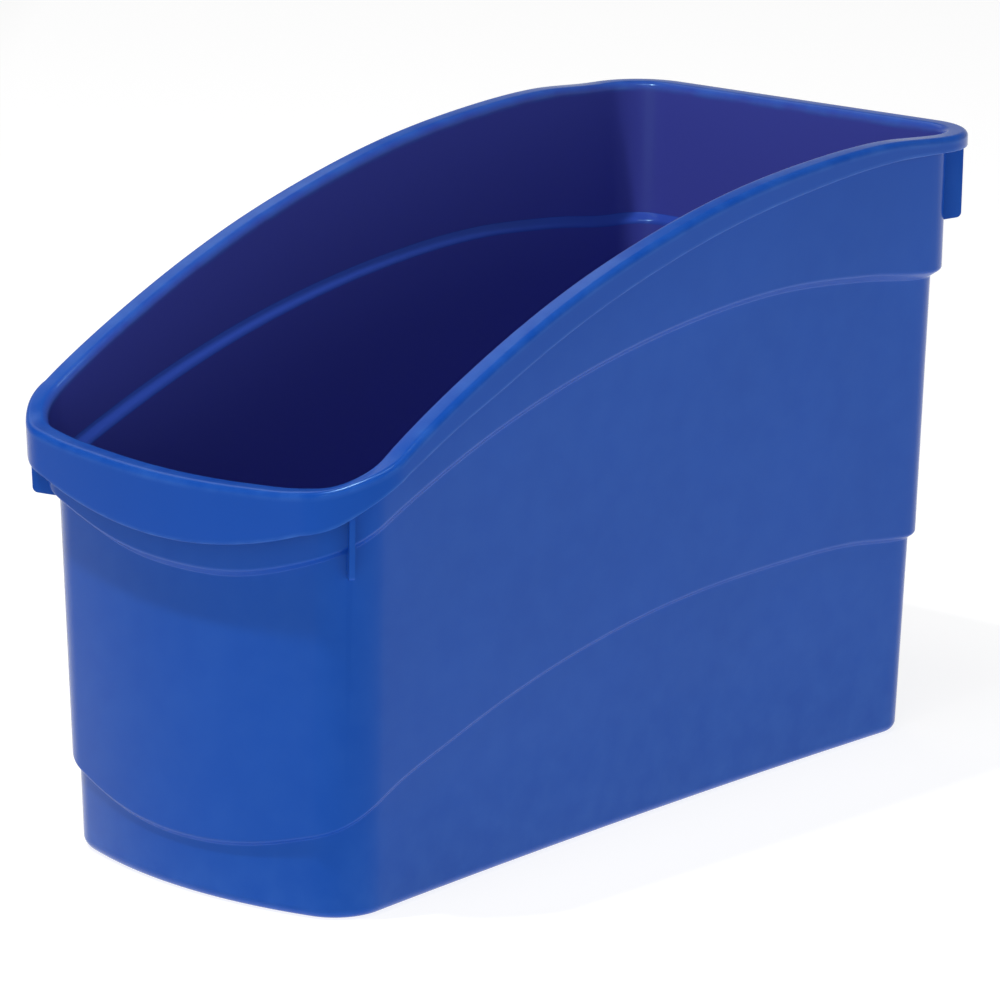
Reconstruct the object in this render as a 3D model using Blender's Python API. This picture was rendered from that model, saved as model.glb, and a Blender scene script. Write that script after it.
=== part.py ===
"""Book tub: a narrow, deep bin with an S-shaped rim, moulded in one piece of polypropylene.

X is the width, -Y the low front, +Y the high back and Z up. The origin is under the middle of the
tub, on the surface it stands on. All lengths are in metres.
"""

import math

import bmesh
import bpy

# Plan of the base. The sides run from FRONT_Y to BACK_Y, and the front wall bows out beyond FRONT_Y.
# The front corners get tighter and the front flatter towards the rim, the back corners rounder.
BASE_WIDTH = 0.1400
FRONT_Y = -0.1569
BACK_Y = 0.1635
FRONT_CORNER = 0.0214
FRONT_CORNER_LOST_PER_METRE = 0.019
BACK_CORNER = 0.0115
BACK_CORNER_AT_RIM = 0.0188
FRONT_BOW = 0.0139
FRONT_BOW_LOST_PER_METRE = 0.0576
LEAST_FRONT_BOW = 0.0003
SIDE_DRAW_IN = 0.0031
SIDE_DRAW_IN_LOST_PER_METRE = 0.0043

# Walls, and the two steps where the tub gets wider on its way up. LOWER_STEP and UPPER_STEP are how
# far the side walls move out at each, and the pairs are how far the front and back walls do.
WALL = 0.0018
FLOOR = 0.0022
BOTTOM_RADIUS = 0.0042
SIDE_DRAFT = math.radians(1.90)
FRONT_DRAFT = math.radians(1.68)
BACK_DRAFT = math.radians(1.57)
LOWER_STEP = 0.0021
UPPER_STEP = 0.0033
FRONT_STEPS = (0.0018, 0.0030)
BACK_STEPS = (0.0018, 0.0026)
STEP_SLOPE = math.radians(50)
STEP_INNER_RADIUS = 0.001
STEP_OUTER_RADIUS = 0.002

# Rim: a lip that turns out from the wall, and a skirt that hangs from the lip's edge. RIM_TOP is the
# lip's highest point, in the side walls near the back.
RIM_TOP = 0.2428
OVERHANG = 0.0079
FRONT_CORNER_OVERHANG = 0.0064
LIP_THICKNESS = 0.0022
LIP_INNER_RADIUS = 0.003
LIP_OUTER_RADIUS = 0.0024
SKIRT = 0.0018
SKIRT_EDGE_RADIUS = 0.0004

# Heights along the wall, as (distance from the middle of the front, height). The last one goes on
# round the back corner and across the back wall.
RIM_HEIGHT = (
    (0.000, 0.1548),
    (0.035, 0.1559),
    (0.060, 0.1580),
    (0.073, 0.1606),
    (0.084, 0.1656),
    (0.097, 0.1732),
    (0.140, 0.1946),
    (0.183, 0.2118),
    (0.227, 0.2250),
    (0.272, 0.2348),
    (0.318, 0.2406),
    (0.360, 0.2428),
    (0.403, 0.2407),
)
SKIRT_DEPTH = (
    (0.000, 0.0227),
    (0.035, 0.0205),
    (0.062, 0.0158),
    (0.073, 0.0138),
    (0.082, 0.0106),
    (0.090, 0.0082),
    (0.100, 0.0088),
    (0.120, 0.0099),
    (0.141, 0.0112),
    (0.170, 0.0113),
    (0.225, 0.0107),
    (0.300, 0.0096),
    (0.350, 0.0080),
    (0.403, 0.0060),
)
UPPER_STEP_HEIGHT = (
    (0.000, 0.1188),
    (0.030, 0.1209),
    (0.055, 0.1272),
    (0.076, 0.1352),
    (0.090, 0.1423),
    (0.117, 0.1537),
    (0.171, 0.1715),
    (0.211, 0.1807),
    (0.253, 0.1872),
    (0.316, 0.1910),
    (0.360, 0.1882),
    (0.403, 0.1837),
)
LOWER_STEP_HEIGHT = (
    (0.000, 0.0205),
    (0.030, 0.0224),
    (0.055, 0.0273),
    (0.076, 0.0338),
    (0.090, 0.0417),
    (0.131, 0.0558),
    (0.187, 0.0704),
    (0.244, 0.0797),
    (0.316, 0.0836),
    (0.362, 0.0830),
    (0.403, 0.0792),
)

# Webs that brace the rim at the four corners, square to the curve of the corner. Their lower edge
# climbs outward, and the right one of the front pair reaches further down.
WEB = 0.0020
WEB_CLIMB = math.radians(9)
WEB_CORNER_RADIUS = 0.0022
FRONT_WEB_REACH = 0.0053
RIGHT_FRONT_WEB_BOTTOM = 0.1269
LEFT_FRONT_WEB_BOTTOM = 0.1314
BACK_WEB_REACH = 0.0066
BACK_WEB_BOTTOM = 0.2051

# Number of faces along each stretch of half the outline.
FRONT_FACES = 8
FRONT_CORNER_FACES = 9
SIDE_FACES = 22
BACK_CORNER_FACES = 5
BACK_FACES = 3


def hermite(knots, x):
    """Height at x on the smooth curve through the knots, level beyond its ends."""
    if x <= knots[0][0]:
        return knots[0][1]
    if x >= knots[-1][0]:
        return knots[-1][1]
    i = max(k for k in range(len(knots) - 1) if knots[k][0] <= x)
    (x0, y0), (x1, y1) = knots[i], knots[i + 1]
    width = x1 - x0
    t = (x - x0) / width
    rise = y1 - y0
    start = width * knot_slope(knots, i)
    end = width * knot_slope(knots, i + 1)
    return y0 + t * start + t * t * (3 * rise - 2 * start - end) + t**3 * (start + end - 2 * rise)


def knot_slope(knots, i):
    """Slope at knot i: the mean of the slopes on its two sides, weighted to the shorter one."""
    if i in (0, len(knots) - 1):
        return 0.0
    before, here, after = knots[i - 1], knots[i], knots[i + 1]
    left = here[0] - before[0]
    right = after[0] - here[0]
    slope_left = (here[1] - before[1]) / left
    slope_right = (after[1] - here[1]) / right
    return (slope_left * right + slope_right * left) / (left + right)


def wall_growth(growth, height, steps, draft):
    """How far one wall has moved out at this height. growth is what the side walls gain at the steps."""
    below = min(growth, LOWER_STEP) / LOWER_STEP
    above = max(growth - LOWER_STEP, 0.0) / UPPER_STEP
    return below * steps[0] + above * steps[1] + height * math.tan(draft)


def outline_point(stretch, t, height, growth, offset):
    """A point on the right half of the outline, front to back.

    growth widens the outline at a step with its corner radii kept, and offset moves the wall's
    surface square to itself.
    """
    front_corner = FRONT_CORNER - FRONT_CORNER_LOST_PER_METRE * height
    back_corner = BACK_CORNER + (BACK_CORNER_AT_RIM - BACK_CORNER) * (height / RIM_TOP) ** 3
    half = BASE_WIDTH / 2 + wall_growth(growth, height, (LOWER_STEP, UPPER_STEP), SIDE_DRAFT)
    bow = max(FRONT_BOW - FRONT_BOW_LOST_PER_METRE * height, LEAST_FRONT_BOW)
    radius = (half**2 + bow**2) / (2 * bow)
    arc_y = FRONT_Y - wall_growth(growth, height, FRONT_STEPS, FRONT_DRAFT) - bow + radius
    corner_x = half - front_corner
    corner_y = arc_y - math.sqrt((radius - front_corner) ** 2 - corner_x**2)
    arc_angle = math.atan2(corner_x, arc_y - corner_y)
    back_x = half - back_corner
    back_y = BACK_Y + wall_growth(growth, height, BACK_STEPS, BACK_DRAFT) - back_corner
    if stretch == "front":
        angle = arc_angle * t
        normal = (math.sin(angle), -math.cos(angle))
        x, y = radius * normal[0], arc_y + radius * normal[1]
    elif stretch == "front_corner":
        angle = arc_angle + (math.pi / 2 - arc_angle) * t
        normal = (math.sin(angle), -math.cos(angle))
        x, y = corner_x + front_corner * normal[0], corner_y + front_corner * normal[1]
    elif stretch == "side":
        draw_in = SIDE_DRAW_IN - SIDE_DRAW_IN_LOST_PER_METRE * height
        y = corner_y + (back_y - corner_y) * t
        x = half - draw_in * 4 * t * (1 - t)
        slope = -draw_in * 4 * (1 - 2 * t) / (back_y - corner_y)
        normal = (1 / math.hypot(1, slope), -slope / math.hypot(1, slope))
    elif stretch == "back_corner":
        angle = math.pi / 2 * t
        normal = (math.cos(angle), math.sin(angle))
        x, y = back_x + back_corner * normal[0], back_y + back_corner * normal[1]
    else:
        normal = (0.0, 1.0)
        x, y = back_x * (1 - t), back_y + back_corner
    return x + offset * normal[0], y + offset * normal[1]


def stations():
    """(stretch, t) of each point from the middle of the front to the middle of the back."""
    counts = (
        ("front", FRONT_FACES),
        ("front_corner", FRONT_CORNER_FACES),
        ("side", SIDE_FACES),
        ("back_corner", BACK_CORNER_FACES),
        ("back", BACK_FACES),
    )
    points = [(stretch, i / count) for stretch, count in counts for i in range(count)]
    return points + [("back", 1.0)]


def distances(points):
    """How far along the wall each station is from the middle of the front, at rim height."""
    growth = LOWER_STEP + UPPER_STEP
    places = [outline_point(stretch, t, 0.15, growth, 0.0) for stretch, t in points]
    total = [0.0]
    for before, here in zip(places, places[1:]):
        total.append(total[-1] + math.dist(before, here))
    return total


def arc(centre, radius, start, end, steps):
    """Points of an arc in a profile, as (offset, height)."""
    angles = [start + (end - start) * i / steps for i in range(steps + 1)]
    return [(centre[0] + radius * math.cos(a), centre[1] + radius * math.sin(a)) for a in angles]


def step_profile(width, inside):
    """A step's section from bottom to top, as (growth, height) from the foot of its slope.

    The inside face keeps the wall's thickness, so its bends sit higher and have other radii.
    """
    half_bend = math.tan(STEP_SLOPE / 2)
    lift = WALL * half_bend if inside else 0.0
    low = STEP_INNER_RADIUS + (WALL if inside else 0.0)
    high = max(STEP_OUTER_RADIUS - (WALL if inside else 0.0), 0.0005)
    foot = (low, lift - low * half_bend)
    head = (width - high, lift + width / math.tan(STEP_SLOPE) + high * half_bend)
    bottom = arc(foot, low, math.pi, math.pi - STEP_SLOPE, 2)
    top = arc(head, high, -STEP_SLOPE, 0.0, 2)
    return bottom + top


def bottom_rows():
    """Bottom edge: a quarter round from the underside to the wall."""
    centre = (-BOTTOM_RADIUS, BOTTOM_RADIUS)
    edge = arc(centre, BOTTOM_RADIUS, -math.pi / 2, 0.0, 4)
    return [("fixed", 0.0, offset, height) for offset, height in edge]


def floor_rows():
    """Inside of the bottom edge, from the wall down to the floor."""
    radius = BOTTOM_RADIUS - WALL
    centre = (-BOTTOM_RADIUS, FLOOR + radius)
    edge = arc(centre, radius, 0.0, -math.pi / 2, 3)
    return [("fixed", 0.0, offset, height) for offset, height in edge]


def step_rows(curve, start, width, inside):
    """Rows of one step, bottom to top. start is the outline's growth below it."""
    offset = -WALL if inside else 0.0
    profile = step_profile(width, inside)
    return [(curve, start + growth, offset, height) for growth, height in profile]


def rim_rows():
    """The skirt and lip, from the root of the lip outside to the wall inside."""
    growth = LOWER_STEP + UPPER_STEP
    skirt_face = OVERHANG - SKIRT
    inner_corner = LIP_OUTER_RADIUS - SKIRT + 0.0006
    underside = [(0.0, -LIP_THICKNESS - 0.0008), (0.0008, -LIP_THICKNESS)]
    corner = (skirt_face - inner_corner, -LIP_THICKNESS - inner_corner)
    underside += arc(corner, inner_corner, math.pi / 2, 0.0, 2)
    edge = SKIRT_EDGE_RADIUS
    hem = [
        (skirt_face, edge),
        (skirt_face + edge, 0.0),
        (OVERHANG - edge, 0.0),
        (OVERHANG, edge),
    ]
    outer = (OVERHANG - LIP_OUTER_RADIUS, -LIP_OUTER_RADIUS)
    inner = (LIP_INNER_RADIUS - WALL, -LIP_INNER_RADIUS)
    crown = arc(outer, LIP_OUTER_RADIUS, 0.0, math.pi / 2, 4)
    crown += arc(inner, LIP_INNER_RADIUS, math.pi / 2, math.pi, 4)
    rows = [("rim", growth, offset, height) for offset, height in underside]
    rows += [("hem", growth, offset, height) for offset, height in hem]
    return rows + [("rim", growth, offset, height) for offset, height in crown]


def all_rows():
    """Every row of the section: up the outside, over the rim and down the inside to the floor."""
    low = ("lower", 0.0, LOWER_STEP)
    high = ("upper", LOWER_STEP, UPPER_STEP)
    rows = bottom_rows()
    rows += step_rows(*low, inside=False) + step_rows(*high, inside=False)
    rows += rim_rows()
    rows += step_rows(*high, inside=True)[::-1] + step_rows(*low, inside=True)[::-1]
    return rows + floor_rows()


def base_height(curve, distance):
    """Height that a row's own heights are added to."""
    if curve == "rim":
        return hermite(RIM_HEIGHT, distance)
    if curve == "hem":
        return hermite(RIM_HEIGHT, distance) - hermite(SKIRT_DEPTH, distance)
    if curve == "upper":
        return hermite(UPPER_STEP_HEIGHT, distance)
    if curve == "lower":
        return hermite(LOWER_STEP_HEIGHT, distance)
    return 0.0


def rim_offset(stretch, t, offset):
    """Offset of a rim row, drawn in a little where the rim turns the front corners."""
    if stretch != "front_corner" or offset <= 0.0:
        return offset
    drawn_in = (OVERHANG - FRONT_CORNER_OVERHANG) * math.sin(math.pi * t) ** 2
    return offset * (1 - drawn_in / OVERHANG)


def ring(row, points, along):
    """Closed ring of corner points for one row, counter-clockwise from the middle of the front."""
    curve, growth, offset, height = row
    right = []
    for (stretch, t), distance in zip(points, along):
        z = base_height(curve, distance) + height
        shift = rim_offset(stretch, t, offset) if curve in ("rim", "hem") else offset
        x, y = outline_point(stretch, t, z, growth, shift)
        right.append((x, y, z))
    left = [(-x, y, z) for x, y, z in right[-2:0:-1]]
    return right + left


def shell_mesh():
    """The tub without its webs, as one closed shell."""
    points = stations()
    along = distances(points)
    shell = bmesh.new()
    rings = [[shell.verts.new(p) for p in ring(row, points, along)] for row in all_rows()]
    count = len(rings[0])
    for below, above in zip(rings, rings[1:]):
        for i in range(count):
            j = (i + 1) % count
            shell.faces.new((below[i], below[j], above[j], above[i]))
    shell.faces.new(rings[0][::-1])
    shell.faces.new(rings[-1])
    bmesh.ops.recalc_face_normals(shell, faces=shell.faces)
    mesh = bpy.data.meshes.new("book_tub")
    shell.to_mesh(mesh)
    shell.free()
    return mesh


def web_root(bottom, top, step):
    """The web's edge in the middle of the wall, top to bottom, as (reach, height).

    step is the height of the upper step, and the wall is further in below it.
    """
    middle = -WALL / 2
    if bottom > step:
        return [(middle, top), (middle, bottom + middle * math.tan(WEB_CLIMB))]
    profile = step_profile(UPPER_STEP, inside=False)
    below = middle - math.hypot(UPPER_STEP, FRONT_STEPS[1])
    upper = [(middle, top), (middle, step + profile[-1][1])]
    return upper + [(below, step + profile[0][1]), (below, bottom + below * math.tan(WEB_CLIMB))]


def web_outline(reach, bottom, top, step):
    """A web in its own plane, as (reach, height), with the lower outer corner rounded."""
    corner_reach = reach - WEB_CORNER_RADIUS
    lower_edge = bottom + corner_reach * math.tan(WEB_CLIMB)
    corner = (corner_reach, lower_edge + WEB_CORNER_RADIUS / math.cos(WEB_CLIMB))
    rounded = arc(corner, WEB_CORNER_RADIUS, WEB_CLIMB - math.pi / 2, 0.0, 4)
    return web_root(bottom, top, step) + rounded + [(reach, top)]


def add_web(name, stretch, t, distance, side, reach, bottom):
    """One web under the rim, as a helper object. side is 1 on the right and -1 on the left."""
    top = hermite(RIM_HEIGHT, distance) - LIP_THICKNESS / 2
    step = hermite(UPPER_STEP_HEIGHT, distance)
    growth = LOWER_STEP + UPPER_STEP
    web = bmesh.new()
    faces = []
    for shift in (-WEB / 2, WEB / 2):
        corners = []
        for out, z in web_outline(reach, bottom, top, step):
            near = outline_point(stretch, t, z, growth, out)
            far = outline_point(stretch, t, z, growth, out + 1.0)
            across = (near[1] - far[1], far[0] - near[0])
            x, y = near[0] + shift * across[0], near[1] + shift * across[1]
            corners.append(web.verts.new((side * x, y, z)))
        faces.append(corners)
    web.faces.new(faces[0])
    web.faces.new(faces[1][::-1])
    for i in range(len(faces[0])):
        j = (i + 1) % len(faces[0])
        web.faces.new((faces[0][j], faces[0][i], faces[1][i], faces[1][j]))
    bmesh.ops.recalc_face_normals(web, faces=web.faces)
    mesh = bpy.data.meshes.new(name)
    web.to_mesh(mesh)
    web.free()
    helper = bpy.data.objects.new(name, mesh)
    helper.hide_render = True
    helper.display_type = "WIRE"
    bpy.context.scene.collection.objects.link(helper)
    return helper


def add_webs():
    """The four corner webs."""
    points = stations()
    along = distances(points)
    side_start = along[FRONT_FACES + FRONT_CORNER_FACES]
    front_distance = (along[FRONT_FACES] + side_start) / 2
    webs = []
    sides = ((1, "right", RIGHT_FRONT_WEB_BOTTOM), (-1, "left", LEFT_FRONT_WEB_BOTTOM))
    for side, word, front_bottom in sides:
        front = ("front_corner", 0.5, front_distance, side, FRONT_WEB_REACH, front_bottom)
        back = ("back_corner", 0.5, along[-1], side, BACK_WEB_REACH, BACK_WEB_BOTTOM)
        webs.append(add_web(f"web_front_{word}", *front))
        webs.append(add_web(f"web_back_{word}", *back))
    return webs


def plastic():
    """Royal blue polypropylene with a soft gloss."""
    material = bpy.data.materials.new("blue_polypropylene")
    material.use_nodes = True
    shader = material.node_tree.nodes["Principled BSDF"]
    shader.inputs["Base Color"].default_value = (0.018, 0.072, 0.36, 1.0)
    shader.inputs["Metallic"].default_value = 0.0
    shader.inputs["Roughness"].default_value = 0.34
    return material


def main():
    for old in list(bpy.data.objects):
        bpy.data.objects.remove(old, do_unlink=True)
    tub = bpy.data.objects.new("book_tub", shell_mesh())
    bpy.context.scene.collection.objects.link(tub)
    tub.data.materials.append(plastic())
    for web in add_webs():
        union = tub.modifiers.new(web.name, "BOOLEAN")
        union.operation = "UNION"
        union.solver = "EXACT"
        union.object = web
    bpy.context.view_layer.objects.active = tub
    tub.select_set(True)
    tub.data.shade_smooth()
    tub.data.set_sharp_from_angle(angle=math.radians(35))


main()
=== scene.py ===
"""Looks of the book tub: a finer shell in place of the CAD node, moulded plastic, floor, light and camera."""

import math

import bmesh
import bpy
from mathutils import Matrix, Vector


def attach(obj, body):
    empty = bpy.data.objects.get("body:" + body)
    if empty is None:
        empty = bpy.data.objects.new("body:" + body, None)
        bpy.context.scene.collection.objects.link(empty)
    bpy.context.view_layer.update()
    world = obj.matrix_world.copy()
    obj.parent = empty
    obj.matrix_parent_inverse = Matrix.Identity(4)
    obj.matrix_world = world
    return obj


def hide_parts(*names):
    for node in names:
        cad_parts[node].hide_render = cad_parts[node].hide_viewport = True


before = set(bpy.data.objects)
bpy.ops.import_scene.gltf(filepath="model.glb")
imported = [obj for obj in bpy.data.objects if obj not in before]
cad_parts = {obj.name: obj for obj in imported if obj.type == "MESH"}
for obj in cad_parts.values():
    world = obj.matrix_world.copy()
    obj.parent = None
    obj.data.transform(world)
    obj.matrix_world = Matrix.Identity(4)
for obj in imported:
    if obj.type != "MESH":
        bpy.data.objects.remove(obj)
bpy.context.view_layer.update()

# Plan of the base, in metres. The origin is under the middle of the tub, -Y is the low front.
BASE_WIDTH = 0.1400
FRONT_Y = -0.1569
BACK_Y = 0.1635
FRONT_CORNER = 0.0214
FRONT_CORNER_LOST_PER_METRE = 0.019
BACK_CORNER = 0.0115
BACK_CORNER_AT_RIM = 0.0188
FRONT_BOW = 0.0139
FRONT_BOW_LOST_PER_METRE = 0.0576
LEAST_FRONT_BOW = 0.0003
SIDE_DRAW_IN = 0.0031
SIDE_DRAW_IN_LOST_PER_METRE = 0.0043

# Walls and steps.
WALL = 0.0018
FLOOR = 0.0022
BOTTOM_RADIUS = 0.0042
SIDE_DRAFT = math.radians(1.90)
FRONT_DRAFT = math.radians(1.68)
BACK_DRAFT = math.radians(1.57)
LOWER_STEP = 0.0021
UPPER_STEP = 0.0033
FRONT_STEPS = (0.0018, 0.0030)
BACK_STEPS = (0.0018, 0.0026)
STEP_SLOPE = math.radians(50)
STEP_INNER_RADIUS = 0.001
STEP_OUTER_RADIUS = 0.002
LEAST_STEP_RADIUS = 0.0005

# Rim.
RIM_TOP = 0.2428
OVERHANG = 0.0079
FRONT_CORNER_OVERHANG = 0.0064
LIP_THICKNESS = 0.0022
LIP_INNER_RADIUS = 0.003
LIP_OUTER_RADIUS = 0.0024
LIP_ROOT_BEVEL = 0.0008
SKIRT = 0.0018
SKIRT_ROOT_EXTRA = 0.0006
SKIRT_EDGE_RADIUS = 0.0004

# Heights along the wall, as (distance from the middle of the front, height). The distances are those of
# the upper wall at the height MEASURED_AT.
MEASURED_AT = 0.15
RIM_HEIGHT = (
    (0.000, 0.1548),
    (0.035, 0.1559),
    (0.060, 0.1580),
    (0.073, 0.1606),
    (0.084, 0.1656),
    (0.097, 0.1732),
    (0.140, 0.1946),
    (0.183, 0.2118),
    (0.227, 0.2250),
    (0.272, 0.2348),
    (0.318, 0.2406),
    (0.360, 0.2428),
    (0.403, 0.2407),
)
SKIRT_DEPTH = (
    (0.000, 0.0227),
    (0.035, 0.0205),
    (0.062, 0.0158),
    (0.073, 0.0138),
    (0.082, 0.0106),
    (0.090, 0.0082),
    (0.100, 0.0088),
    (0.120, 0.0099),
    (0.141, 0.0112),
    (0.170, 0.0113),
    (0.225, 0.0107),
    (0.300, 0.0096),
    (0.350, 0.0080),
    (0.403, 0.0060),
)
UPPER_STEP_HEIGHT = (
    (0.000, 0.1188),
    (0.030, 0.1209),
    (0.055, 0.1272),
    (0.076, 0.1352),
    (0.090, 0.1423),
    (0.117, 0.1537),
    (0.171, 0.1715),
    (0.211, 0.1807),
    (0.253, 0.1872),
    (0.316, 0.1910),
    (0.360, 0.1882),
    (0.403, 0.1837),
)
LOWER_STEP_HEIGHT = (
    (0.000, 0.0205),
    (0.030, 0.0224),
    (0.055, 0.0273),
    (0.076, 0.0338),
    (0.090, 0.0417),
    (0.131, 0.0558),
    (0.187, 0.0704),
    (0.244, 0.0797),
    (0.316, 0.0836),
    (0.362, 0.0830),
    (0.403, 0.0792),
)

# Corner webs. Their lower edge climbs outward, and the right one of the front pair reaches further down.
WEB = 0.0020
WEB_CLIMB = math.radians(9)
WEB_CORNER_RADIUS = 0.0022
FRONT_WEB_REACH = 0.0053
RIGHT_FRONT_WEB_BOTTOM = 0.1269
LEFT_FRONT_WEB_BOTTOM = 0.1314
BACK_WEB_REACH = 0.0066
BACK_WEB_BOTTOM = 0.2051

# Pale edges: how much of the pale colour each edge takes, as wear on the bottom edge and steps and as painted
# highlight along the lip's crown and the skirt's hem, and how far it reaches along the rim's faces.
WORN_BOTTOM = 0.5
WORN_STEP = 0.2
HEM_WEAR_AND_SHEEN = 1.0
CROWN_WEAR_AND_SHEEN = 0.8
WEAR_AND_SHEEN_BAND = 0.0012

# Faces along each stretch of half the outline, and in each bend of the section.
FRONT_FACES = 28
FRONT_CORNER_FACES = 24
SIDE_FACES = 84
BACK_CORNER_FACES = 16
BACK_FACES = 12
BEND_FACES = 6
HEM_FACES = 4
CROWN_FACES = 10
SHARP_ANGLE = math.radians(32)

# Plastic. The inside is painted a deeper, more violet blue as painted shade, and the ledges inside, lit from
# above, are painted between the two.
OUTSIDE_DEEP = (0.0042, 0.0625, 0.39)
OUTSIDE_PALE = (0.0054, 0.068, 0.415)
INSIDE_PAINTED_SHADE = (0.054, 0.067, 0.37)
LEDGE_PAINTED_SHADE_SHARE = 0.45
# Pale colour of the edges: wear, and painted highlight on the lip's crown and the skirt's hem.
PALE_WEAR_AND_SHEEN = (0.04, 0.15, 0.55)
WEAR_AND_SHEEN_SHARE = (0.1, 0.5)
SPECULAR_LEVEL = 0.24
SPECULAR_TINT = (0.42, 0.8, 1.0, 1.0)
ROUGHNESS = 0.2

# Grain of the plastic: how fine each pattern is, per metre, and how high the two bumps are.
FLOW_SCALE = 14.0
WEAR_AND_SHEEN_SCALE = 90.0
GLOSS_SCALE = 60.0
GRAIN_SCALE = 1600.0
GRAIN_STRENGTH = 0.12
GRAIN_HEIGHT = 0.00004
WAVE_SCALE = 22.0
WAVE_STRENGTH = 0.35
WAVE_HEIGHT = 0.00015

# Light. Lamps and surround are given by how bright their faces are.
FLOOR_HALF = 6.0
FLOOR_SHADE = 0.30
FLOOR_GLOW = 0.86
FLOOR_GLOW_LEFT = 0.6
FLOOR_RIGHTWARD = (0.75, 0.66, 0.0)
FLOOR_FADE = (-0.7, -0.35)
SURROUND_LOW = 0.62
SURROUND_HIGH = 0.08
SURROUND_FADE = 0.5
FRONT_BOX = 0.4
RIGHT_BOX = 1.5
LEFT_BOX = 0.8
OVERHEAD = 8.0
STRIP = 6.0
KEY = 980.0

# Camera: place, and the axes that it sees as right, up and back.
CAMERA_PLACE = (1.21192202, -1.36770213, 0.58006414)
CAMERA_RIGHT = (0.747449, 0.66429849, 0.00524455)
CAMERA_UP = (-0.16876931, 0.18224679, 0.96866043)
CAMERA_BACK = (0.64252386, -0.72490939, 0.24833338)
CAMERA_LENS_MM = 180.876


def knot_slope(knots, i):
    """Slope at knot i: the mean of the slopes on its two sides, weighted to the shorter one."""
    if i in (0, len(knots) - 1):
        return 0.0
    before, here, after = knots[i - 1], knots[i], knots[i + 1]
    left = here[0] - before[0]
    right = after[0] - here[0]
    slope_left = (here[1] - before[1]) / left
    slope_right = (after[1] - here[1]) / right
    return (slope_left * right + slope_right * left) / (left + right)


def hermite(knots, x):
    """Height at x on the smooth curve through the knots, level beyond its ends."""
    if x <= knots[0][0]:
        return knots[0][1]
    if x >= knots[-1][0]:
        return knots[-1][1]
    i = max(k for k in range(len(knots) - 1) if knots[k][0] <= x)
    (x0, y0), (x1, y1) = knots[i], knots[i + 1]
    width = x1 - x0
    t = (x - x0) / width
    rise = y1 - y0
    start = width * knot_slope(knots, i)
    end = width * knot_slope(knots, i + 1)
    return y0 + t * start + t * t * (3 * rise - 2 * start - end) + t**3 * (start + end - 2 * rise)


def wall_growth(growth, height, steps, draft):
    """How far one wall has moved out at this height. growth is what the side walls gain at the steps."""
    below = min(growth, LOWER_STEP) / LOWER_STEP
    above = max(growth - LOWER_STEP, 0.0) / UPPER_STEP
    return below * steps[0] + above * steps[1] + height * math.tan(draft)


def outline_point(stretch, t, height, growth, offset):
    """A point on the right half of the outline, front to back.

    growth widens the outline at a step with its corner radii kept, and offset moves the wall's
    surface square to itself.
    """
    front_corner = FRONT_CORNER - FRONT_CORNER_LOST_PER_METRE * height
    back_corner = BACK_CORNER + (BACK_CORNER_AT_RIM - BACK_CORNER) * (height / RIM_TOP) ** 3
    half = BASE_WIDTH / 2 + wall_growth(growth, height, (LOWER_STEP, UPPER_STEP), SIDE_DRAFT)
    bow = max(FRONT_BOW - FRONT_BOW_LOST_PER_METRE * height, LEAST_FRONT_BOW)
    radius = (half**2 + bow**2) / (2 * bow)
    arc_y = FRONT_Y - wall_growth(growth, height, FRONT_STEPS, FRONT_DRAFT) - bow + radius
    corner_x = half - front_corner
    corner_y = arc_y - math.sqrt((radius - front_corner) ** 2 - corner_x**2)
    arc_angle = math.atan2(corner_x, arc_y - corner_y)
    back_x = half - back_corner
    back_y = BACK_Y + wall_growth(growth, height, BACK_STEPS, BACK_DRAFT) - back_corner
    if stretch == "front":
        angle = arc_angle * t
        normal = (math.sin(angle), -math.cos(angle))
        x, y = radius * normal[0], arc_y + radius * normal[1]
    elif stretch == "front_corner":
        angle = arc_angle + (math.pi / 2 - arc_angle) * t
        normal = (math.sin(angle), -math.cos(angle))
        x, y = corner_x + front_corner * normal[0], corner_y + front_corner * normal[1]
    elif stretch == "side":
        draw_in = SIDE_DRAW_IN - SIDE_DRAW_IN_LOST_PER_METRE * height
        y = corner_y + (back_y - corner_y) * t
        x = half - draw_in * 4 * t * (1 - t)
        slope = -draw_in * 4 * (1 - 2 * t) / (back_y - corner_y)
        normal = (1 / math.hypot(1, slope), -slope / math.hypot(1, slope))
    elif stretch == "back_corner":
        angle = math.pi / 2 * t
        normal = (math.cos(angle), math.sin(angle))
        x, y = back_x + back_corner * normal[0], back_y + back_corner * normal[1]
    else:
        normal = (0.0, 1.0)
        x, y = back_x * (1 - t), back_y + back_corner
    return x + offset * normal[0], y + offset * normal[1]


def stations():
    """(stretch, t) of each point from the middle of the front to the middle of the back."""
    counts = (
        ("front", FRONT_FACES),
        ("front_corner", FRONT_CORNER_FACES),
        ("side", SIDE_FACES),
        ("back_corner", BACK_CORNER_FACES),
        ("back", BACK_FACES),
    )
    points = [(stretch, i / count) for stretch, count in counts for i in range(count)]
    return points + [("back", 1.0)]


def distances(points):
    """How far along the upper wall each station is from the middle of the front."""
    growth = LOWER_STEP + UPPER_STEP
    places = [outline_point(stretch, t, MEASURED_AT, growth, 0.0) for stretch, t in points]
    total = [0.0]
    for before, here in zip(places, places[1:]):
        total.append(total[-1] + math.dist(before, here))
    return total


def arc(centre, radius, start, end, steps):
    """Points of an arc in a profile, as (offset, height)."""
    angles = [start + (end - start) * i / steps for i in range(steps + 1)]
    return [(centre[0] + radius * math.cos(a), centre[1] + radius * math.sin(a)) for a in angles]


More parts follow.
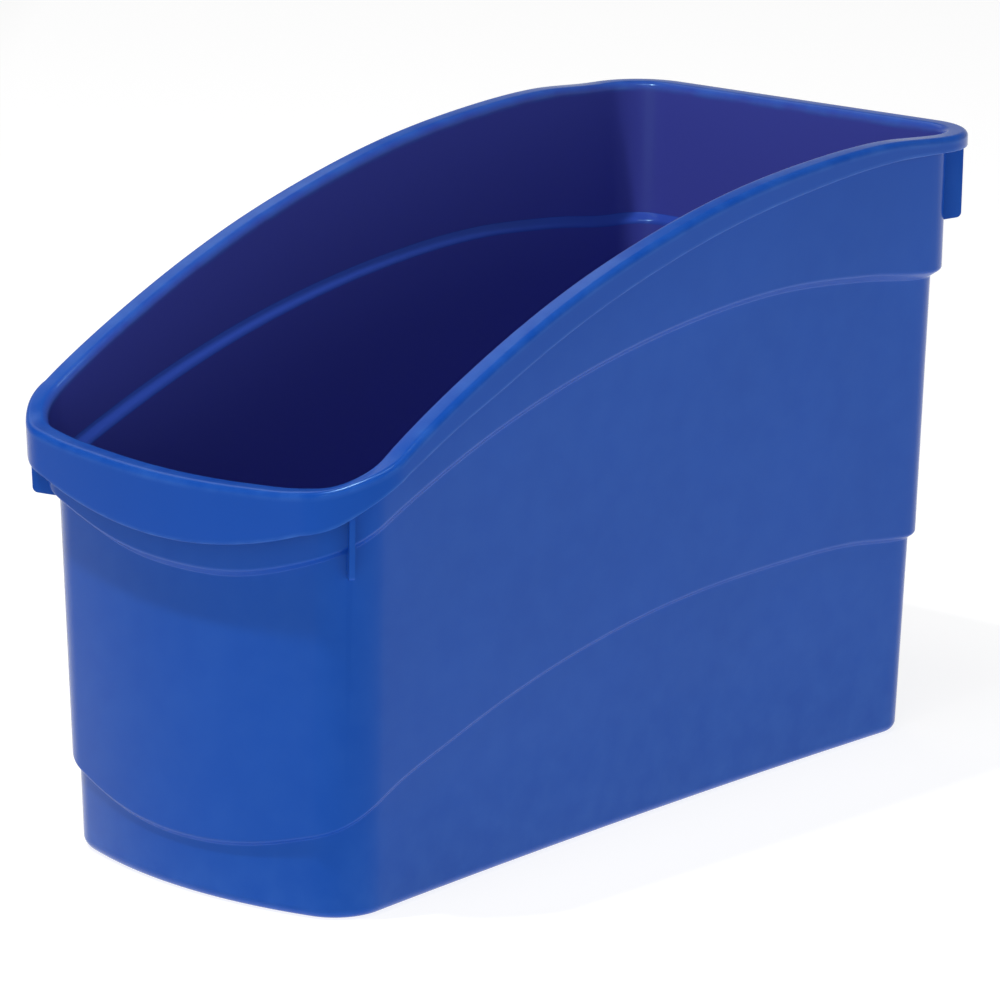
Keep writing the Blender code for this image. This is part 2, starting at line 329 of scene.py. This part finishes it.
def step_profile(width, inside):
    """A step's section from bottom to top, as (growth, height) from the foot of its slope."""
    half_bend = math.tan(STEP_SLOPE / 2)
    lift = WALL * half_bend if inside else 0.0
    low = STEP_INNER_RADIUS + (WALL if inside else 0.0)
    high = max(STEP_OUTER_RADIUS - (WALL if inside else 0.0), LEAST_STEP_RADIUS)
    foot = (low, lift - low * half_bend)
    head = (width - high, lift + width / math.tan(STEP_SLOPE) + high * half_bend)
    bottom = arc(foot, low, math.pi, math.pi - STEP_SLOPE, BEND_FACES)
    top = arc(head, high, -STEP_SLOPE, 0.0, BEND_FACES)
    return bottom + top


def bottom_rows():
    """Bottom edge: a quarter round from the underside to the wall."""
    centre = (-BOTTOM_RADIUS, BOTTOM_RADIUS)
    edge = arc(centre, BOTTOM_RADIUS, -math.pi / 2, 0.0, CROWN_FACES)
    return [("fixed", 0.0, offset, height, WORN_BOTTOM) for offset, height in edge]


def floor_rows():
    """Inside of the bottom edge, from the wall down to the floor."""
    radius = BOTTOM_RADIUS - WALL
    centre = (-BOTTOM_RADIUS, FLOOR + radius)
    edge = arc(centre, radius, 0.0, -math.pi / 2, BEND_FACES)
    return [("fixed", 0.0, offset, height, 0.0) for offset, height in edge]


def step_rows(curve, start, width, inside):
    """Rows of one step, bottom to top. start is the outline's growth below it."""
    offset = -WALL if inside else 0.0
    profile = step_profile(width, inside)
    wear_and_sheen = 0.0 if inside else WORN_STEP
    return [(curve, start + growth, offset, height, wear_and_sheen) for growth, height in profile]


def rim_rows():
    """The skirt and lip, from the root of the lip outside to the wall inside."""
    growth = LOWER_STEP + UPPER_STEP
    skirt_face = OVERHANG - SKIRT
    inner_corner = LIP_OUTER_RADIUS - SKIRT + SKIRT_ROOT_EXTRA
    underside = [(0.0, -LIP_THICKNESS - LIP_ROOT_BEVEL), (LIP_ROOT_BEVEL, -LIP_THICKNESS)]
    corner = (skirt_face - inner_corner, -LIP_THICKNESS - inner_corner)
    underside += arc(corner, inner_corner, math.pi / 2, 0.0, BEND_FACES)
    edge = SKIRT_EDGE_RADIUS
    hem = arc((skirt_face + edge, edge), edge, math.pi, 1.5 * math.pi, HEM_FACES)
    hem += arc((OVERHANG - edge, edge), edge, 1.5 * math.pi, 2 * math.pi, HEM_FACES)
    outer = (OVERHANG - LIP_OUTER_RADIUS, -LIP_OUTER_RADIUS)
    inner = (LIP_INNER_RADIUS - WALL, -LIP_INNER_RADIUS)
    crown = arc(outer, LIP_OUTER_RADIUS, 0.0, math.pi / 2, CROWN_FACES)
    crown += arc(inner, LIP_INNER_RADIUS, math.pi / 2, math.pi, CROWN_FACES)
    rows = [("rim", growth, offset, height, 0.0) for offset, height in underside]
    # The hem and crown rows take the pale colour, as wear and as painted highlight.
    rows += [("hem", growth, offset, height, HEM_WEAR_AND_SHEEN) for offset, height in hem]
    rows.append(("hem", growth, OVERHANG, edge + WEAR_AND_SHEEN_BAND, 0.0))
    rows.append(("rim", growth, OVERHANG, -LIP_OUTER_RADIUS - WEAR_AND_SHEEN_BAND, 0.0))
    rows += [("rim", growth, offset, height, CROWN_WEAR_AND_SHEEN) for offset, height in crown]
    rows.append(("rim", growth, -WALL, -LIP_INNER_RADIUS - WEAR_AND_SHEEN_BAND, 0.0))
    return rows


def all_rows():
    """Every row of the section: up the outside, over the rim and down the inside to the floor."""
    low = ("lower", 0.0, LOWER_STEP)
    high = ("upper", LOWER_STEP, UPPER_STEP)
    rows = bottom_rows()
    rows += step_rows(*low, inside=False) + step_rows(*high, inside=False)
    rows += rim_rows()
    rows += step_rows(*high, inside=True)[::-1] + step_rows(*low, inside=True)[::-1]
    return rows + floor_rows()


def base_height(curve, distance):
    """Height that a row's own heights are added to."""
    if curve == "rim":
        return hermite(RIM_HEIGHT, distance)
    if curve == "hem":
        return hermite(RIM_HEIGHT, distance) - hermite(SKIRT_DEPTH, distance)
    if curve == "upper":
        return hermite(UPPER_STEP_HEIGHT, distance)
    if curve == "lower":
        return hermite(LOWER_STEP_HEIGHT, distance)
    return 0.0


def rim_offset(stretch, t, offset):
    """Offset of a rim row, drawn in a little where the rim turns the front corners."""
    if stretch != "front_corner" or offset <= 0.0:
        return offset
    drawn_in = (OVERHANG - FRONT_CORNER_OVERHANG) * math.sin(math.pi * t) ** 2
    return offset * (1 - drawn_in / OVERHANG)


def ring(row, points, along):
    """Closed ring of corner points for one row, counter-clockwise from the middle of the front."""
    curve, growth, offset, height, _ = row
    right = []
    for (stretch, t), distance in zip(points, along):
        z = base_height(curve, distance) + height
        shift = rim_offset(stretch, t, offset) if curve in ("rim", "hem") else offset
        x, y = outline_point(stretch, t, z, growth, shift)
        right.append((x, y, z))
    left = [(-x, y, z) for x, y, z in right[-2:0:-1]]
    return right + left


def painted_shade_share(rows, i):
    """Row i's share of the painted shade colour inside, which grows round the lip's inner bend and is less on
    a ledge, where light falls.
    """
    wall_row = max(k for k, row in enumerate(rows) if row[0] == "rim")
    bend_row = wall_row - 1 - CROWN_FACES
    if i <= wall_row:
        return min(max((i - bend_row) / CROWN_FACES, 0.0), 1.0)
    same_step = [row[0] for row in rows[i - 1 : i + 2]] == [rows[i][0]] * 3
    return LEDGE_PAINTED_SHADE_SHARE if same_step and rows[i][0] in ("lower", "upper") else 1.0


def mark(rows, rings, wear_and_sheen, inside):
    """Stores how much pale colour each row takes, as wear and painted highlight, and how much of the painted
    shade colour inside.
    """
    for i, (row, points) in enumerate(zip(rows, rings)):
        share = painted_shade_share(rows, i)
        for point in points:
            point[wear_and_sheen] = row[4]
            point[inside] = share


def shell_mesh():
    """The tub without its webs, as one closed shell."""
    points = stations()
    along = distances(points)
    shell = bmesh.new()
    # Per-vertex layers: pale wear and painted highlight on the edges, and the share of the painted shade
    # colour inside.
    wear_and_sheen = shell.verts.layers.float.new("wear_and_sheen")
    inside = shell.verts.layers.float.new("inside")
    rows = all_rows()
    rings = [[shell.verts.new(p) for p in ring(row, points, along)] for row in rows]
    mark(rows, rings, wear_and_sheen, inside)
    count = len(rings[0])
    for below, above in zip(rings, rings[1:]):
        for i in range(count):
            j = (i + 1) % count
            shell.faces.new((below[i], below[j], above[j], above[i]))
    shell.faces.new(rings[0][::-1])
    shell.faces.new(rings[-1])
    bmesh.ops.recalc_face_normals(shell, faces=shell.faces)
    mesh = bpy.data.meshes.new("book_tub_shell")
    shell.to_mesh(mesh)
    shell.free()
    return mesh


def web_root(bottom, top, step):
    """The web's edge in the middle of the wall, top to bottom, as (reach, height).

    step is the height of the upper step, and the wall is further in below it.
    """
    middle = -WALL / 2
    if bottom > step:
        return [(middle, top), (middle, bottom + middle * math.tan(WEB_CLIMB))]
    profile = step_profile(UPPER_STEP, inside=False)
    below = middle - math.hypot(UPPER_STEP, FRONT_STEPS[1])
    upper = [(middle, top), (middle, step + profile[-1][1])]
    return upper + [(below, step + profile[0][1]), (below, bottom + below * math.tan(WEB_CLIMB))]


def web_outline(reach, bottom, top, step):
    """A web in its own plane, as (reach, height), with the lower outer corner rounded."""
    corner_reach = reach - WEB_CORNER_RADIUS
    lower_edge = bottom + corner_reach * math.tan(WEB_CLIMB)
    corner = (corner_reach, lower_edge + WEB_CORNER_RADIUS / math.cos(WEB_CLIMB))
    rounded = arc(corner, WEB_CORNER_RADIUS, WEB_CLIMB - math.pi / 2, 0.0, CROWN_FACES)
    return web_root(bottom, top, step) + rounded + [(reach, top)]


def web_object(name, stretch, t, distance, side, reach, bottom):
    """One web under the rim. side is 1 on the right and -1 on the left."""
    top = hermite(RIM_HEIGHT, distance) - LIP_THICKNESS / 2
    step = hermite(UPPER_STEP_HEIGHT, distance)
    growth = LOWER_STEP + UPPER_STEP
    web = bmesh.new()
    faces = []
    for shift in (-WEB / 2, WEB / 2):
        corners = []
        for out, z in web_outline(reach, bottom, top, step):
            near = outline_point(stretch, t, z, growth, out)
            far = outline_point(stretch, t, z, growth, out + 1.0)
            across = (near[1] - far[1], far[0] - near[0])
            x, y = near[0] + shift * across[0], near[1] + shift * across[1]
            corners.append(web.verts.new((side * x, y, z)))
        faces.append(corners)
    web.faces.new(faces[0])
    web.faces.new(faces[1][::-1])
    for i in range(len(faces[0])):
        j = (i + 1) % len(faces[0])
        web.faces.new((faces[0][j], faces[0][i], faces[1][i], faces[1][j]))
    bmesh.ops.recalc_face_normals(web, faces=web.faces)
    mesh = bpy.data.meshes.new(name)
    web.to_mesh(mesh)
    web.free()
    return bpy.data.objects.new(name, mesh)


def all_webs():
    """The four corner webs."""
    points = stations()
    along = distances(points)
    side_start = along[FRONT_FACES + FRONT_CORNER_FACES]
    front_distance = (along[FRONT_FACES] + side_start) / 2
    webs = []
    sides = ((1, "right", RIGHT_FRONT_WEB_BOTTOM), (-1, "left", LEFT_FRONT_WEB_BOTTOM))
    for side, word, front_bottom in sides:
        front = ("front_corner", 0.5, front_distance, side, FRONT_WEB_REACH, front_bottom)
        back = ("back_corner", 0.5, along[-1], side, BACK_WEB_REACH, BACK_WEB_BOTTOM)
        webs.append(web_object(f"web_front_{word}", *front))
        webs.append(web_object(f"web_back_{word}", *back))
    return webs


def build_tub():
    """The whole tub as one mesh, with the webs joined in by an exact union."""
    tub = bpy.data.objects.new("book_tub_shell", shell_mesh())
    bpy.context.scene.collection.objects.link(tub)
    webs = all_webs()
    for web in webs:
        bpy.context.scene.collection.objects.link(web)
        union = tub.modifiers.new(web.name, "BOOLEAN")
        union.operation = "UNION"
        union.solver = "EXACT"
        union.object = web
    graph = bpy.context.evaluated_depsgraph_get()
    joined = bpy.data.meshes.new_from_object(tub.evaluated_get(graph))
    tub.modifiers.clear()
    tub.data = joined
    for web in webs:
        bpy.data.objects.remove(web, do_unlink=True)
    tub.data.shade_smooth()
    tub.data.set_sharp_from_angle(angle=SHARP_ANGLE)
    return tub


def node(tree, kind, place, **settings):
    made = tree.nodes.new(kind)
    made.location = place
    for name, value in settings.items():
        setattr(made, name, value)
    return made


def noise(tree, vector, place, scale, detail):
    made = node(tree, "ShaderNodeTexNoise", place)
    made.inputs["Scale"].default_value = scale
    made.inputs["Detail"].default_value = detail
    tree.links.new(vector, made.inputs["Vector"])
    return made.outputs["Fac"]


def spread(tree, value, place, low, high, to_low, to_high):
    """Maps low..high onto to_low..to_high, and holds it there."""
    made = node(tree, "ShaderNodeMapRange", place)
    for name, number in zip(("From Min", "From Max", "To Min", "To Max"), (low, high, to_low, to_high)):
        made.inputs[name].default_value = number
    tree.links.new(value, made.inputs["Value"])
    return made.outputs["Result"]


def mix(tree, factor, first, second, place):
    """Colour mix. first and second are sockets, or colours."""
    made = node(tree, "ShaderNodeMix", place, data_type="RGBA")
    tree.links.new(factor, made.inputs["Factor"])
    for socket, value in ((made.inputs[6], first), (made.inputs[7], second)):
        if isinstance(value, tuple):
            socket.default_value = (*value, 1.0)
        else:
            tree.links.new(value, socket)
    return made.outputs[2]


def plastic_colour(tree, position):
    """Blue with faint flow marks, a deeper, more violet painted shade inside, and paler on edges as wear and
    as painted highlight on the crown and hem.
    """
    marks = noise(tree, position, (-1500, 500), FLOW_SCALE, 3.0)
    flow = spread(tree, marks, (-1300, 500), 0.3, 0.7, 0.0, 1.0)
    outside = mix(tree, flow, OUTSIDE_DEEP, OUTSIDE_PALE, (-1050, 500))
    # Painted shade: the inside attribute mixes in the deeper violet colour of the shaded inside.
    inside = node(tree, "ShaderNodeAttribute", (-1500, 250), attribute_name="inside")
    both = mix(tree, inside.outputs["Fac"], outside, INSIDE_PAINTED_SHADE, (-850, 400))
    # Pale edges: wear, and painted highlight along the lip's crown and the skirt's hem.
    wear_and_sheen = node(tree, "ShaderNodeAttribute", (-1500, 0), attribute_name="wear_and_sheen")
    speckle = noise(tree, position, (-1500, -150), WEAR_AND_SHEEN_SCALE, 5.0)
    patches = spread(tree, speckle, (-1300, -150), 0.35, 0.7, *WEAR_AND_SHEEN_SHARE)
    wear_and_sheen_amount = node(tree, "ShaderNodeMath", (-1050, 50), operation="MULTIPLY")
    tree.links.new(wear_and_sheen.outputs["Fac"], wear_and_sheen_amount.inputs[0])
    tree.links.new(patches, wear_and_sheen_amount.inputs[1])
    return mix(tree, wear_and_sheen_amount.outputs[0], both, PALE_WEAR_AND_SHEEN, (-600, 300))


def plastic_bump(tree, position):
    """Fine grain, under long shallow waves where the wall cooled."""
    grain = node(tree, "ShaderNodeBump", (-600, -450))
    grain.inputs["Strength"].default_value = GRAIN_STRENGTH
    grain.inputs["Distance"].default_value = GRAIN_HEIGHT
    tree.links.new(noise(tree, position, (-850, -450), GRAIN_SCALE, 2.0), grain.inputs["Height"])
    waves = node(tree, "ShaderNodeBump", (-350, -450))
    waves.inputs["Strength"].default_value = WAVE_STRENGTH
    waves.inputs["Distance"].default_value = WAVE_HEIGHT
    tree.links.new(noise(tree, position, (-850, -700), WAVE_SCALE, 1.0), waves.inputs["Height"])
    tree.links.new(grain.outputs["Normal"], waves.inputs["Normal"])
    return waves.outputs["Normal"]


def moulded_plastic():
    """Royal blue polypropylene with an uneven satin gloss."""
    material = bpy.data.materials.new("blue_polypropylene_moulded")
    material.use_nodes = True
    tree = material.node_tree
    shader = tree.nodes["Principled BSDF"]
    shader.inputs["IOR"].default_value = 1.49
    shader.inputs["Specular IOR Level"].default_value = SPECULAR_LEVEL
    shader.inputs["Specular Tint"].default_value = SPECULAR_TINT
    position = node(tree, "ShaderNodeNewGeometry", (-1800, 0)).outputs["Position"]
    tree.links.new(plastic_colour(tree, position), shader.inputs["Base Color"])
    gloss = noise(tree, position, (-850, -150), GLOSS_SCALE, 4.0)
    roughness = spread(tree, gloss, (-600, -150), 0.3, 0.7, ROUGHNESS - 0.03, ROUGHNESS + 0.04)
    tree.links.new(roughness, shader.inputs["Roughness"])
    tree.links.new(plastic_bump(tree, position), shader.inputs["Normal"])
    return material


def floor_glow(tree):
    """Even, but dimmer well out to the left."""
    position = node(tree, "ShaderNodeNewGeometry", (-1000, 0)).outputs["Position"]
    across = node(tree, "ShaderNodeVectorMath", (-800, 0), operation="DOT_PRODUCT")
    tree.links.new(position, across.inputs[0])
    across.inputs[1].default_value = FLOOR_RIGHTWARD
    return spread(tree, across.outputs["Value"], (-600, 0), *FLOOR_FADE, FLOOR_GLOW_LEFT, FLOOR_GLOW)


def make_floor():
    """A plain white floor that glows a little, like a lit studio sweep."""
    mesh = bpy.data.meshes.new("floor")
    corners = [(x * FLOOR_HALF, y * FLOOR_HALF, 0.0) for x, y in ((-1, -1), (1, -1), (1, 1), (-1, 1))]
    mesh.from_pydata(corners, [], [(0, 1, 2, 3)])
    floor = bpy.data.objects.new("floor", mesh)
    bpy.context.scene.collection.objects.link(floor)
    material = bpy.data.materials.new("floor_white")
    material.use_nodes = True
    shader = material.node_tree.nodes["Principled BSDF"]
    shader.inputs["Base Color"].default_value = (FLOOR_SHADE, FLOOR_SHADE, FLOOR_SHADE, 1.0)
    shader.inputs["Roughness"].default_value = 0.9
    shader.inputs["Specular IOR Level"].default_value = 0.0
    material.node_tree.links.new(floor_glow(material.node_tree), shader.inputs["Emission Color"])
    shader.inputs["Emission Strength"].default_value = 1.0
    mesh.materials.append(material)


def area_light(name, place, aim, size, radiance):
    """A soft box. Its power follows from how bright its face is."""
    light = bpy.data.lights.new(name, "AREA")
    light.shape = "RECTANGLE"
    light.size, light.size_y = size
    light.energy = radiance * math.pi * size[0] * size[1]
    lamp = bpy.data.objects.new(name, light)
    lamp.location = place
    lamp.rotation_euler = (Vector(aim) - Vector(place)).to_track_quat("-Z", "Y").to_euler()
    bpy.context.scene.collection.objects.link(lamp)


def make_surround():
    """Studio surround: bright round the horizon and dim overhead."""
    world = bpy.data.worlds.new("studio")
    world.use_nodes = True
    tree = world.node_tree
    direction = node(tree, "ShaderNodeTexCoord", (-900, 0)).outputs["Generated"]
    parts = node(tree, "ShaderNodeSeparateXYZ", (-700, 0))
    tree.links.new(direction, parts.inputs["Vector"])
    level = spread(tree, parts.outputs["Z"], (-500, 0), 0.0, SURROUND_FADE, SURROUND_LOW, SURROUND_HIGH)
    tree.links.new(level, tree.nodes["Background"].inputs["Strength"])
    tree.nodes["Background"].inputs["Color"].default_value = (1.0, 1.0, 1.0, 1.0)
    bpy.context.scene.world = world


def make_light():
    """Soft studio light: a small key lamp high in front, a strip below it and soft boxes round the tub."""
    make_surround()
    middle = (0.0, 0.0, 0.12)
    area_light("front_box", (1.4, -2.4, 0.55), middle, (1.2, 0.8), FRONT_BOX)
    area_light("right_box", (2.8, 0.2, 0.9), middle, (1.6, 1.1), RIGHT_BOX)
    area_light("left_box", (-2.2, 1.0, 2.4), middle, (1.6, 1.6), LEFT_BOX)
    area_light("overhead", (0.3, -0.5, 2.1), middle, (0.6, 0.6), OVERHEAD)
    area_light("strip", (0.3, -1.25, 0.9), middle, (0.1, 0.9), STRIP)
    area_light("key", (-0.25, -0.82, 2.07), middle, (0.09, 0.09), KEY)


def make_camera():
    data = bpy.data.cameras.new("camera")
    data.lens = CAMERA_LENS_MM
    data.sensor_width = 36.0
    data.clip_end = 30.0
    camera = bpy.data.objects.new("camera", data)
    columns = (Vector(CAMERA_RIGHT), Vector(CAMERA_UP), Vector(CAMERA_BACK))
    turn = Matrix([[column[i] for column in columns] for i in range(3)])
    camera.rotation_mode = "QUATERNION"
    camera.rotation_quaternion = turn.to_quaternion()
    camera.location = CAMERA_PLACE
    bpy.context.scene.collection.objects.link(camera)
    bpy.context.scene.camera = camera


make_camera()
make_light()
make_floor()
bpy.context.scene.view_settings.view_transform = "Standard"

tub = build_tub()
tub.data.materials.clear()
tub.data.materials.append(moulded_plastic())
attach(tub, "root")
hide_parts("book_tub")
